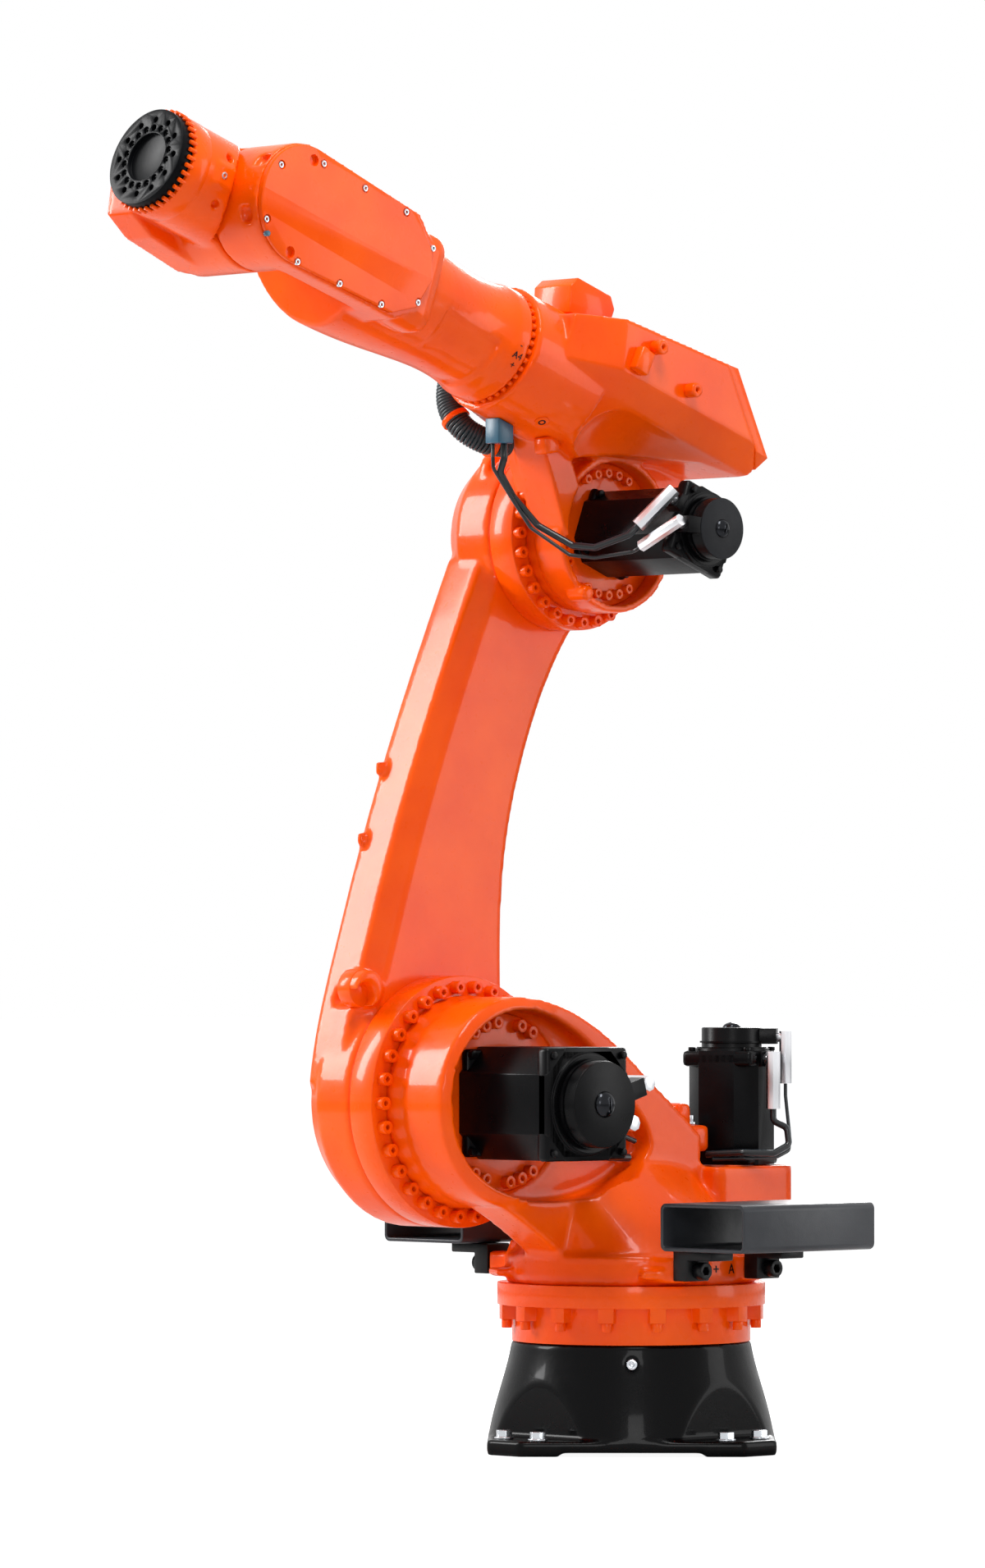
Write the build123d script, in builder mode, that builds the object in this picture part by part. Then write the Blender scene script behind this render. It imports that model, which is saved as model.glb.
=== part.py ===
from build123d import *
from math import cos, sin, radians, degrees, atan2, hypot, pi
import os

os.makedirs("parts", exist_ok=True)

# Six-axis robot arm, millimetres. Origin: axis 1 where it meets the floor.
# X is the way the arm points at rest, Y the side of the motors, Z up.

# ---------------------------------------------------------------- axes
A2_X, A2_Z = 300.0, 572.0            # shoulder axis, along Y
LINK = 968.0                         # shoulder axis to elbow axis
LINK_LEAN = 16.0                     # degrees back from upright
A3_X = A2_X - LINK * sin(radians(LINK_LEAN))
A3_Z = A2_Z + LINK * cos(radians(LINK_LEAN))
PITCH = 19.0                         # forearm, degrees above level
ARM_RISE = 183.0                     # elbow axis to forearm axis
WRIST_A = 942.0                      # along the forearm axis to the wrist axis
FACE_A = WRIST_A + 220.0             # and to the tool face
C, S = cos(radians(PITCH)), sin(radians(PITCH))
FOOT_X, FOOT_Z = A3_X - ARM_RISE * S, A3_Z + ARM_RISE * C
GAP = 0.3                            # seat clearance


def side(y):
    """Sketch plane across Y: local x is X, local y is Z, extrude goes to -Y."""
    return Plane.XZ.offset(-y)


def arm(y):
    """The same plane turned with the forearm: local x runs along its axis."""
    return Plane(origin=(FOOT_X, y, FOOT_Z), x_dir=(C, 0, S), z_dir=(0, -1, 0))


def tube(a):
    """Plane square to the forearm axis at distance a: local x is Y, local y is up."""
    return Plane(origin=(FOOT_X + a * C, 0, FOOT_Z + a * S), x_dir=(0, 1, 0), z_dir=(C, 0, S))


def save(part, name):
    part.label = name
    export_step(part, "parts/" + name + ".step")


def ring_of_heads(plane, radius, angles, head_r, head_h, hex_r):
    """Socket screw heads standing on a plane, as separate solids."""
    with BuildPart() as heads:
        for a in angles:
            at = (radius * cos(radians(a)), radius * sin(radians(a)))
            with BuildSketch(plane):
                with Locations(at):
                    Circle(head_r)
                    RegularPolygon(hex_r, 6, mode=Mode.SUBTRACT)
            extrude(amount=-head_h)
    return heads.part


# ---------------------------------------------------------------- base
FOOT_HALF, FOOT_T, PAD_T = 235.0, 25.0, 6.0
NECK_R, NECK_Z = FOOT_HALF - 39.0, 178.0
WALL_X = FOOT_HALF - 24.0            # the casting ends here beside each foot
BORE_R = FOOT_HALF - 85.0            # hollow of the skirt at its top
CORNER = FOOT_HALF * 2 ** 0.5        # from the axis to a corner of the square plate, before it is cut off
FOOT_TIP = CORNER - 37.34            # and to the cut
BOLT_FAR, BOLT_NEAR = CORNER - 78.34, 39.0    # anchor holes from the axis
BOLT_HOLE_R = 9.0

with BuildPart() as base_frame:
    with BuildSketch(Plane.XZ):
        with BuildLine():
            Polyline((BORE_R, NECK_Z), (NECK_R, NECK_Z))
            Spline((NECK_R, NECK_Z), (NECK_R + 8, 140), (NECK_R + 21, 95), (NECK_R + 33, 50), (NECK_R + 38, FOOT_T))
            Polyline((NECK_R + 38, FOOT_T), (NECK_R + 38, PAD_T), (BORE_R + 35, PAD_T), (BORE_R + 15, 140),
                     (BORE_R, 150), (BORE_R, NECK_Z))
        make_face()
    revolve(axis=Axis.Z)
    with BuildSketch(Plane.XY.offset(FOOT_T)):
        Rectangle(700, 700)
        Rectangle(2 * WALL_X, 2 * WALL_X, mode=Mode.SUBTRACT)
    extrude(amount=200, mode=Mode.SUBTRACT)
    with BuildSketch(Plane.XY.offset(PAD_T)):
        Rectangle(2 * FOOT_HALF, 2 * FOOT_HALF, rotation=45)
        Rectangle(2 * FOOT_TIP, 2 * FOOT_TIP, mode=Mode.INTERSECT)
        Circle(BORE_R + 35, mode=Mode.SUBTRACT)
    extrude(amount=FOOT_T - PAD_T)
    with BuildSketch(Plane.XY):
        Rectangle(2 * FOOT_HALF, 2 * FOOT_HALF, rotation=45)
        Rectangle(2 * FOOT_TIP, 2 * FOOT_TIP, mode=Mode.INTERSECT)
        with PolarLocations(0, 4, start_angle=45):
            with Locations((0, 0)):
                Rectangle(700, 2 * 118, mode=Mode.SUBTRACT)
    extrude(amount=PAD_T)
    with BuildSketch(Plane.XY):
        with GridLocations(2 * BOLT_FAR, 2 * BOLT_NEAR, 2, 2):
            Circle(BOLT_HOLE_R)
        with GridLocations(2 * BOLT_NEAR, 2 * BOLT_FAR, 2, 2):
            Circle(BOLT_HOLE_R)
    extrude(amount=60, mode=Mode.SUBTRACT)
    with BuildSketch(Plane(origin=(0, 0, 148), x_dir=(-1, 1, 0), z_dir=(1, 1, 0)).offset(NECK_R - 1)):
        Circle(9)
    extrude(amount=30, mode=Mode.SUBTRACT)
save(base_frame.part, "base_frame")

with BuildPart() as anchor_bolts:
    for grid in (GridLocations(2 * BOLT_FAR, 2 * BOLT_NEAR, 2, 2), GridLocations(2 * BOLT_NEAR, 2 * BOLT_FAR, 2, 2)):
        with BuildSketch(Plane.XY.offset(FOOT_T)):
            with grid:
                Circle(16)
        extrude(amount=3)
        with BuildSketch(Plane.XY.offset(FOOT_T + 3)):
            with grid:
                RegularPolygon(13.5, 6)
        extrude(amount=11)
save(anchor_bolts.part, "anchor_bolts")

with BuildPart() as base_plug:
    with BuildSketch(Plane(origin=(0, 0, 148), x_dir=(-1, 1, 0), z_dir=(1, 1, 0)).offset(NECK_R - 0.5)):
        Circle(8.5)
    extrude(amount=16)
    with BuildSketch(Plane(origin=(0, 0, 148), x_dir=(-1, 1, 0), z_dir=(1, 1, 0)).offset(NECK_R + 15.5)):
        RegularPolygon(4.5, 6)
    extrude(amount=-8, mode=Mode.SUBTRACT)
save(base_plug.part, "base_plug")

# ---------------------------------------------------------------- collar under axis 1
RING_R, RING_LOW, RING_TOP = NECK_R + 24.0, 238.0, 274.0
LUGS, LUG_START = 16, 11.25
with BuildPart() as base_collar:
    with BuildSketch(Plane.XY.offset(NECK_Z)):
        Circle(NECK_R)
        Circle(140, mode=Mode.SUBTRACT)
    extrude(amount=RING_LOW - NECK_Z)
    with BuildSketch(Plane.XY.offset(RING_LOW)):
        Circle(RING_R)
        Circle(140, mode=Mode.SUBTRACT)
    extrude(amount=RING_TOP - RING_LOW)
    with BuildSketch(Plane.XY.offset(214)):
        with PolarLocations(NECK_R + 8, LUGS, start_angle=LUG_START):
            Rectangle(28, 26)
    extrude(amount=RING_LOW - 214)
save(base_collar.part, "base_collar")

with BuildPart() as collar_screws:
    with BuildSketch(Plane.XY.offset(214)):
        with PolarLocations(NECK_R + 12, LUGS, start_angle=LUG_START):
            Circle(8.5)
    extrude(amount=-14)
save(collar_screws.part, "collar_screws")

# ---------------------------------------------------------------- column
DRUM_R = 205.0
BARREL_R, BARREL_IN, BARREL_OUT = 171.0, -46.0, 37.0
RING2_R, RING2_SEAM, RING2_FACE = 205.0, -140.0, -88.0

with BuildPart() as column_housing:
    # drum over the seam of axis 1, with its stop ears
    with BuildSketch(Plane.XY.offset(RING_TOP + GAP)):
        Circle(DRUM_R)
    extrude(amount=49)
    with BuildSketch(Plane.XY.offset(286)):
        for a in (56.5, -31, 124):
            with Locations(Location((0, 0, 0), (0, 0, a))):
                with Locations((DRUM_R, 0)):
                    Rectangle(60, 62)
    extrude(amount=13)
    # pads for the fork brackets
    with BuildSketch(Plane.XY.offset(280)):
        for x in (95.0, -70.0):
            with Locations((x, 0)):
                Rectangle(52, 2 * 214)
    extrude(amount=42)
    # skirt from the drum up into the web
    with BuildSketch(Plane.XY.offset(322)):
        Circle(196)
    with BuildSketch(Plane.XY.offset(470)):
        with Locations((20, -4)):
            Ellipse(150, 44)
    loft()
    # web and barrel in one outline
    with BuildSketch(side(BARREL_OUT)):
        with BuildLine():
            top = (A2_X, A2_Z + BARREL_R)
            low = (A2_X + BARREL_R * cos(radians(-80)), A2_Z + BARREL_R * sin(radians(-80)))
            ThreePointArc(top, (A2_X + BARREL_R, A2_Z), low)
            Spline(low, (254, 361), (190, 318))
            Line((190, 318), (-205, 318))
            Polyline((-205, 318), (-205, 425), (-128, 462), (-128, 512), (-99, 538), (0, 612))
            Spline((0, 612), (106, 688), (200, 729), top)
        make_face()
    extrude(amount=BARREL_OUT - BARREL_IN)
    # sloped lip round the opening
    with BuildSketch(side(BARREL_OUT)):
        with Locations((A2_X, A2_Z)):
            Circle(BARREL_R - 1)
    extrude(amount=-12, taper=58)
    # neck of the barrel inside the gear ring
    with BuildSketch(side(BARREL_IN)):
        with Locations((A2_X, A2_Z)):
            Circle(168)
    extrude(amount=BARREL_IN - RING2_FACE - GAP)
    # seat of the axis 1 motor
    with BuildSketch(Plane.XY.offset(322)):
        with Locations((-222, -8)):
            RectangleRounded(190, 164, 22)
    extrude(amount=140)
    # egg-shaped opening
    with BuildSketch(side(60)):
        with BuildLine():
            Spline(
                (450, 572), (406, 678), (300, 722), (200, 702), (110, 645), (25, 555), (-8, 497),
                (25, 462), (110, 424), (205, 410), (320, 424), (418, 480), periodic=True,
            )
        make_face()
    extrude(amount=62, mode=Mode.SUBTRACT)
    with BuildSketch(side(0)):
        with Locations((A2_X, A2_Z)):
            Circle(145)
    extrude(amount=90, mode=Mode.SUBTRACT)
save(column_housing.part, "column_housing")

with BuildPart() as a2_gear_flange:
    with BuildSketch(side(-4)):
        with Locations((A2_X, A2_Z)):
            Circle(145 - GAP)
            Circle(60, mode=Mode.SUBTRACT)
    extrude(amount=-4 - RING2_FACE - GAP)
save(a2_gear_flange.part, "a2_gear_flange")

INNER2 = [a + b for a in (90, 180, 270, 0) for b in (-30, -18, -6, 18, 30)]
save(ring_of_heads(Plane(origin=(A2_X, -4, A2_Z), x_dir=(1, 0, 0), z_dir=(0, -1, 0)),
                   130, INNER2, 10.5, 14, 5), "a2_gear_inner_screws")


def servo(seat, half, cut, length, ring_r, cap_r, block_r, block_w):
    """Square motor with cut corners: plate, round cap, slotted dome, two connector blocks. Grows along the normal."""
    with BuildPart() as motor:
        with BuildSketch(seat) as outline:
            Rectangle(2 * half, 2 * half)
            chamfer(outline.vertices(), cut)
        extrude(amount=length)
        with BuildSketch(seat.offset(length)):
            Circle(ring_r)
        extrude(amount=4)
        with BuildSketch(seat.offset(length + 4)):
            Circle(cap_r)
        extrude(amount=CAP_L)
        with BuildSketch(seat.offset(length + 4 + CAP_L)):
            Circle(cap_r * 0.3)
        extrude(amount=cap_r * 0.13, taper=40)
        for turn, r, low in ((SIGNAL_TURN, block_r, length + 4 + CAP_L - block_w), (-SIGNAL_TURN, block_r, length - block_w)):
            with BuildSketch(seat.offset(low)):
                with Locations(Location((0, 0, 0), (0, 0, turn))):
                    with Locations((r / 2 + 20, 0)):
                        Rectangle(r - 40, block_w)
            extrude(amount=block_w)
    return motor.part


def plug(seat, turn, low, block_r, socket, thick, length, aim):
    """Angled plug on a motor block: round socket outwards, then a flat-sided barrel along aim."""
    base = Plane(seat.from_local_coords(Vector(block_r * cos(radians(turn)), block_r * sin(radians(turn)), low)),
                 z_dir=seat.x_dir.rotate(Axis((0, 0, 0), seat.z_dir), turn))
    with BuildPart() as body:
        with BuildSketch(base.offset(GAP)):
            Circle(thick * 0.42)
        extrude(amount=socket)
        start = base.origin + base.z_dir * (socket + GAP) - Vector(*aim).normalized() * thick * 0.55
        with BuildSketch(Plane(start, z_dir=Vector(*aim))):
            RegularPolygon(thick * 0.54, 8)
        extrude(amount=length)
    end = start + Vector(*aim).normalized() * (length + GAP)
    return body.part, end, end + Vector(*aim).normalized() * 20


def leads(routes, bend):
    """Round cables swept along cornered routes with arcs."""
    with BuildPart() as cables:
        for r, points in routes:
            with BuildLine() as run:
                FilletPolyline(*points, radius=bend)
            with BuildSketch(Plane(origin=run.line @ 0, z_dir=run.line % 0)):
                Circle(r)
            sweep(path=run.line, transition=Transition.ROUND)
    return cables.part


# shoulder motor: side on, plugs towards the back
CAP_L, SIGNAL_TURN = 33.0, 16.5
A2_SEAT = Plane(origin=(A2_X, -4 + GAP, A2_Z), x_dir=(-1, 0, 0), z_dir=(0, 1, 0))
save(servo(A2_SEAT, 91, 43, 203, 82, 70, 99, 30), "a2_motor")
a2_signal, a2_signal_end, a2_signal_out = plug(A2_SEAT, SIGNAL_TURN, 222, 99, 14, 24, 88, (0, -1, 0))
a2_power, a2_power_end, a2_power_out = plug(A2_SEAT, -SIGNAL_TURN, 188, 99, 14, 24, 88, (0, -1, 0))
save(Compound([a2_signal, a2_power]), "a2_connectors")

save(leads((
    (4.5, (a2_signal_end, a2_signal_out, (150, 74, 560), (60, 22, 520), (12, 20, 505))),
    (6.5, (a2_power_end, a2_power_out, (168, 60, 500), (70, 18, 480), (22, 16, 478))),
), 16), "a2_motor_cables")

# axis 1 motor, upright behind the web
A1_MOTOR_X, A1_MOTOR_Y, SEAT_Z = -243.0, -5.0, 462.0
A1_OUT = 110.0                       # where its plugs look, degrees from X
A1_SEAT = Plane(origin=(A1_MOTOR_X, A1_MOTOR_Y, SEAT_Z + GAP), x_dir=(cos(radians(A1_OUT)), sin(radians(A1_OUT)), 0),
                z_dir=(0, 0, 1))
save(servo(A1_SEAT, 63, 31, 189, 62, 50, 76, 26), "a1_motor")
a1_signal, a1_signal_end, a1_signal_out = plug(A1_SEAT, SIGNAL_TURN, 211, 76, 14, 19, 87, (0, 0, -1))
a1_power, a1_power_end, a1_power_out = plug(A1_SEAT, -SIGNAL_TURN, 176, 76, 14, 22, 95, (0, 0, -1))
save(Compound([a1_signal, a1_power]), "a1_connectors")


def round_a1(out, turn, z):
    """Point at a distance and a turn round the axis 1 motor."""
    return (A1_MOTOR_X + out * cos(radians(A1_OUT + turn)), A1_MOTOR_Y + out * sin(radians(A1_OUT + turn)), z)


save(leads((
    (3.0, (a1_signal_end, a1_signal_out, round_a1(100, 8, 512), round_a1(104, 0, 486),
           round_a1(96, -14, 476), round_a1(92, -52, 474), round_a1(84, -88, 472))),
    (5.5, (a1_power_end, a1_power_out, round_a1(106, -6, 524), round_a1(112, -8, 496),
           round_a1(104, -24, 482), round_a1(98, -56, 484), round_a1(84, -96, 480))),
), 11), "a1_motor_cable")

# fork pockets on both sides
TUBE_IN, TUBE_OUT, TUBE_LOW, TUBE_TOP = 228.0, 416.0, 334.0, 411.0
TUBE_BACK, TUBE_FRONT, WALL = -140.0, 164.0, 6.0
for sign, hand in ((1, "right"), (-1, "left")):
    with BuildPart() as tube_part:
        with BuildSketch(Plane(origin=(TUBE_FRONT, 0, 0), x_dir=(0, 1, 0), z_dir=(1, 0, 0))) as profile:
            with Locations((sign * (TUBE_IN + TUBE_OUT) / 2, (TUBE_LOW + TUBE_TOP) / 2)):
                RectangleRounded(TUBE_OUT - TUBE_IN, TUBE_TOP - TUBE_LOW, 11)
                RectangleRounded(TUBE_OUT - TUBE_IN - 2 * WALL, TUBE_TOP - TUBE_LOW - 2 * WALL, 6, mode=Mode.SUBTRACT)
        extrude(amount=-(TUBE_FRONT - TUBE_BACK))
    save(tube_part.part, "fork_tube_" + hand)
    with BuildPart() as bracket:
        for x in (95.0, -70.0):
            with BuildSketch(Plane(origin=(x, 0, 0), x_dir=(0, 1, 0), z_dir=(1, 0, 0)).offset(-26)):
                with BuildLine():
                    Polyline(
                        (sign * (214 + GAP), 284), (sign * 246, 284), (sign * 246, 318), (sign * 300, 318),
                        (sign * 300, TUBE_LOW - GAP), (sign * (214 + GAP), TUBE_LOW - GAP), close=True,
                    )
                make_face()
            extrude(amount=52)
    save(bracket.part, "fork_bracket_" + hand)

with BuildPart() as bracket_screws:
    for sign in (1, -1):
        with BuildSketch(Plane(origin=(0, sign * (246 + GAP), 301), x_dir=(1, 0, 0), z_dir=(0, sign, 0))):
            with Locations((95.0, 0), (-70.0, 0)):
                Circle(14)
                RegularPolygon(7.5, 6, mode=Mode.SUBTRACT)
        extrude(amount=18)
save(bracket_screws.part, "fork_bracket_screws")

# ---------------------------------------------------------------- link arm
LINK_OUT = -273.0
RING3_R, RING3_FACE = 156.0, -88.0


LINK_FRONT = [(181, 1464), (234, 1350), (305, 1189), (367, 1034), (447, 802), (478, 700), (497, 600)]
LINK_BACK = [(150, 600), (159, 744), (159, 868), (144, 1007), (107, 1139), (55, 1258), (-22, 1372), (-90, 1440)]

with BuildPart() as link_arm:
    for y, inset in ((RING2_SEAM, 30), (-170, 0), (-243, 0), (LINK_OUT, 30)):
        front_edge = [(x - inset, z) for x, z in LINK_FRONT]
        with BuildSketch(side(y)):
            with BuildLine():
                Spline(*front_edge)
                Line(front_edge[-1], LINK_BACK[0])
                Spline(*LINK_BACK)
                Line(LINK_BACK[-1], front_edge[0])
            make_face()
    loft(ruled=True)
    for x, z, r in ((A2_X, A2_Z, 205), (A3_X, A3_Z, 156)):
        with BuildSketch(side(RING2_SEAM)):
            with Locations((x, z)):
                Circle(r - 6)
        extrude(amount=6)
        with BuildSketch(side(RING2_SEAM - 6)):
            with Locations((x, z)):
                Circle(r)
        extrude(amount=70)
        with BuildSketch(side(RING2_SEAM - 76)):
            with Locations((x, z)):
                Circle(r)
        extrude(amount=46, taper=32)
    # stop lug low down, and the ear at the elbow
    with BuildSketch(side(-128)):
        with Locations((466, 757)):
            Circle(30)
    extrude(amount=50)
    with BuildSketch(side(-176)):
        with Locations((118, 1604)):
            Circle(40)
    extrude(amount=24)
    # clips on the front edge
    for x, z in ((338, 1116), (380, 1000)):
        with Locations((x, -236, z)):
            Box(30, 12, 22)
save(link_arm.part, "link_arm")

with BuildPart() as a2_gear_ring:
    with BuildSketch(side(RING2_FACE)):
        with Locations((A2_X, A2_Z)):
            Circle(RING2_R)
            Circle(110, mode=Mode.SUBTRACT)
    extrude(amount=RING2_FACE - RING2_SEAM - GAP)
save(a2_gear_ring.part, "a2_gear_ring")
save(ring_of_heads(Plane(origin=(A2_X, RING2_FACE, A2_Z), x_dir=(1, 0, 0), z_dir=(0, -1, 0)),
                   187, [12 * i for i in range(30)], 10.5, 16, 5), "a2_gear_screws")

with BuildPart() as a3_gear_ring:
    with BuildSketch(side(RING3_FACE)):
        with Locations((A3_X, A3_Z)):
            Circle(RING3_R)
            Circle(80, mode=Mode.SUBTRACT)
    extrude(amount=RING3_FACE - RING2_SEAM - GAP)
save(a3_gear_ring.part, "a3_gear_ring")
save(ring_of_heads(Plane(origin=(A3_X, RING3_FACE, A3_Z), x_dir=(1, 0, 0), z_dir=(0, -1, 0)),
                   144, [360 / 28 * i for i in range(28)], 9.5, 14, 4.6), "a3_gear_screws")

for x, z, r, name in ((A2_X, A2_Z, 150, "link_cover_lower"), (A3_X, A3_Z, 105, "link_cover_upper")):
    with BuildPart() as cover:
        with BuildSketch(side(LINK_OUT - GAP)):
            with Locations((x, z)):
                Circle(r)
        extrude(amount=12)
    save(cover.part, name)

# ---------------------------------------------------------------- arm
CUP_R, CUP_IN = 130.0, 118.0
COLLAR_R, COLLAR_END = 106.0, 366.0
REAR_TOP, REAR_LOW = (-104.0, 1782.0), (-183.0, 1612.0)

FACE_Y, BAND_IN = 128.0, 100.0       # motor-side face, and how far its sloped band runs in
BAND_TOP, BAND_LOW, BAND_END = 24.0, -21.0, 190.0
HOLLOW_R, HOLLOW_Y, HOLLOW_H = 92.0, 112.0, -113.0


def arm_way(a, y, h):
    """A direction given along the forearm axis, across it and up from it."""
    return Vector(a * C - h * S, y, a * S + h * C)


# what the motor side of the block loses: a sloped band, a hollow under it that ends round, and two facets to the collar
with BuildPart() as flank:
    with BuildSketch(tube(BAND_END)):
        with BuildLine():
            Polyline((FACE_Y, BAND_TOP), (BAND_IN, BAND_LOW), (BAND_IN - 20, BAND_LOW - 32), (FACE_Y + 20, BAND_LOW - 32),
                     (FACE_Y + 20, BAND_TOP), close=True)
        make_face()
    extrude(amount=-460)
    with BuildSketch(tube(BAND_END - 70)):
        with Locations((HOLLOW_Y, HOLLOW_H)):
            Circle(HOLLOW_R)
    extrude(amount=-400)
    with Locations(tube(BAND_END - 70).from_local_coords(Vector(HOLLOW_Y, HOLLOW_H, 0))):
        Sphere(HOLLOW_R)
    for tilt in (arm_way(0.19, 1, -0.037), arm_way(0.08, 1, -0.622)):
        with BuildSketch(Plane(tube(BAND_END).from_local_coords(Vector(FACE_Y, BAND_TOP, 0)), z_dir=tilt)):
            Rectangle(420, 420)
        extrude(amount=90)

with BuildPart() as arm_housing:
    # upper block
    with BuildSketch(side(FACE_Y)):
        with BuildLine():
            Polyline(
                (236, 1850), (134, 1844), REAR_TOP, REAR_LOW, (-172, 1600), (-90, 1622), (60, 1630),
                (150, 1622), (228, 1668), (290, 1700), close=True,
            )
        make_face()
    extrude(amount=FACE_Y - RING3_FACE - GAP)
    add(flank.part, mode=Mode.SUBTRACT)
    # collar of axis 4
    with BuildSketch(tube(COLLAR_END - GAP)):
        Circle(COLLAR_R)
    extrude(amount=-COLLAR_END + 200)
    # web down to the elbow, and the leg in front of the motor
    with BuildSketch(side(-29)):
        with BuildLine():
            Polyline((225, 1690), (162, 1507), (A3_X, A3_Z - 20), (A3_X - CUP_R, A3_Z), (-160, 1605), (-135, 1690), close=True)
        make_face()
    extrude(amount=-29 + 86)
    with BuildSketch(side(8)):
        with BuildLine():
            Polyline((240, 1700), (222, 1660), (207, 1625), (188, 1584), (174, 1542), (162, 1507), (140, 1480),
                     (120, 1520), (118, 1560), (140, 1610), (180, 1690), close=True)
        make_face()
    extrude(amount=8 + 60)
    # cup round the elbow gear
    with BuildSketch(side(0)):
        with Locations((A3_X, A3_Z)):
            Circle(CUP_R)
    extrude(amount=60)
    with BuildSketch(side(-60)):
        with Locations((A3_X, A3_Z)):
            Circle(126)
    extrude(amount=-60 - RING3_FACE - GAP)
    with BuildSketch(side(9)):
        with Locations((A3_X, A3_Z)):
            Circle(CUP_IN)
    extrude(amount=110, mode=Mode.SUBTRACT)
    # running room over the gear ring and its screw heads
    with BuildSketch(side(-69)):
        with Locations((A3_X, A3_Z)):
            Circle(RING3_R + 5)
            Circle(126, mode=Mode.SUBTRACT)
    extrude(amount=40, mode=Mode.SUBTRACT)
    # stop pin at the lip
    with BuildSketch(side(14)):
        with Locations((A3_X + 78, A3_Z - 100)):
            Circle(13)
    extrude(amount=42)
save(arm_housing.part, "arm_housing")

with BuildPart() as arm_rear_cover:
    with BuildSketch(side(FACE_Y - 6)):
        with BuildLine():
            n = (-(REAR_TOP[1] - REAR_LOW[1]), REAR_TOP[0] - REAR_LOW[0])
            size = hypot(*n)
            out = (n[0] / size, n[1] / size)

            def off(p, d):
                return (p[0] + out[0] * d, p[1] + out[1] * d)

            Polyline(off(REAR_TOP, GAP), off((REAR_TOP[0] - 6, REAR_TOP[1] - 14), 20),
                     off((REAR_LOW[0] + 5, REAR_LOW[1] + 10), 22), off(REAR_LOW, GAP), close=True)
        make_face()
    extrude(amount=216)
    add(flank.part, mode=Mode.SUBTRACT)
save(arm_rear_cover.part, "arm_rear_cover")

with BuildPart() as arm_fittings:
    # pads and bosses on the motor side
    for x, z, r in ((75, 1800, 12), (-4, 1734, 12)):
        with BuildSketch(side(FACE_Y + GAP + 22)):
            with Locations((x, z)):
                Circle(r)
                Circle(3.5, mode=Mode.SUBTRACT)
        extrude(amount=22)
    with BuildSketch(side(FACE_Y + GAP + 18)):
        with Locations(Location((112, 1776, 0), (0, 0, 28))):
            Rectangle(30, 40)
    extrude(amount=18)
    # elbow where the hose enters the housing
    with BuildSketch(side(-COLLAR_R - GAP)):
        with Locations((216, 1776)):
            Rectangle(38, 52)
    extrude(amount=47)
    # lifting block on top
    with BuildSketch(arm(34)):
        with BuildLine():
            Polyline((158, 111.6), (206, 107.6), (250, 106.5), (262, 150), (250, 168), (170, 168), (155, 150),
                     close=True)
        make_face()
    extrude(amount=86)
save(arm_fittings.part, "arm_fittings")

with BuildPart() as a3_gear_flange:
    with BuildSketch(side(-29)):
        with Locations((A3_X, A3_Z)):
            Circle(CUP_IN - GAP)
            Circle(50, mode=Mode.SUBTRACT)
    extrude(amount=-29 - RING3_FACE - GAP)
save(a3_gear_flange.part, "a3_gear_flange")
INNER3 = [a + b for a in (90, 180, 270, 0) for b in (-28, -14, 0, 14, 28)]
save(ring_of_heads(Plane(origin=(A3_X, -29, A3_Z), x_dir=(1, 0, 0), z_dir=(0, -1, 0)),
                   100.7, INNER3, 8, 12, 4), "a3_gear_inner_screws")

# elbow motor, turned so that its plugs look forwards and up
A3_TURN = 21.0
A3_SEAT = Plane(origin=(A3_X, -29 + GAP, A3_Z), x_dir=(cos(radians(A3_TURN)), 0, sin(radians(A3_TURN))), z_dir=(0, 1, 0))
save(servo(A3_SEAT, 63, 31, 232, 62, 50, 76, 26), "a3_motor")
a3_signal, a3_signal_end, a3_signal_out = plug(A3_SEAT, SIGNAL_TURN, 254, 76, 14, 19, 94, (0.037, -0.905, -0.421))
a3_power, a3_power_end, a3_power_out = plug(A3_SEAT, -SIGNAL_TURN, 219, 76, 14, 22, 84, (0.5, -0.49, -0.71))
save(Compound([a3_signal, a3_power]), "a3_connectors")

# motor leads: out of the plugs, round the leg, up to the clip under the collar
CLIP = (296.0, 0.0, 1640.0)
save(leads((
    (5.7, (a3_power_end, a3_power_out, (174, 90, 1472), (186, 52, 1476), (216, 0, 1510),
           (252, -20, 1556), (290, -12, 1594), (291, -1, 1616), (291, -1, 1639.6))),
    (3.0, (a3_signal_end, a3_signal_out, (168, 84, 1456), (190, 48, 1461), (228, -4, 1506),
           (262, -16, 1556), (303, -14, 1600), (305, -13, 1618), (305, -13, 1639.6))),
), 14), "a3_motor_cables")

with BuildPart() as cable_bracket:
    low = FOOT_Z - COLLAR_R / C - 0.4
    with BuildSketch(side(12)):
        with BuildLine():
            Polyline((282, CLIP[2]), (316, CLIP[2]), (316, low + (316 - FOOT_X) * S / C),
                     (282, low + (282 - FOOT_X) * S / C), close=True)
        make_face()
    extrude(amount=32)
save(cable_bracket.part, "cable_bracket")

with BuildPart() as cable_hose:
    with BuildLine() as hose_line:
        FilletPolyline((228, -64, 1645), (266, -66, 1645), (301, -92, 1668), (301, -124, 1712), (280, -131, 1768),
                       (241, -131, 1776), radius=26)
    with BuildSketch(Plane(origin=hose_line.line @ 0, z_dir=hose_line.line % 0)):
        Circle(22)
    sweep(path=hose_line.line, transition=Transition.ROUND)
save(cable_hose.part, "cable_hose")

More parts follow.
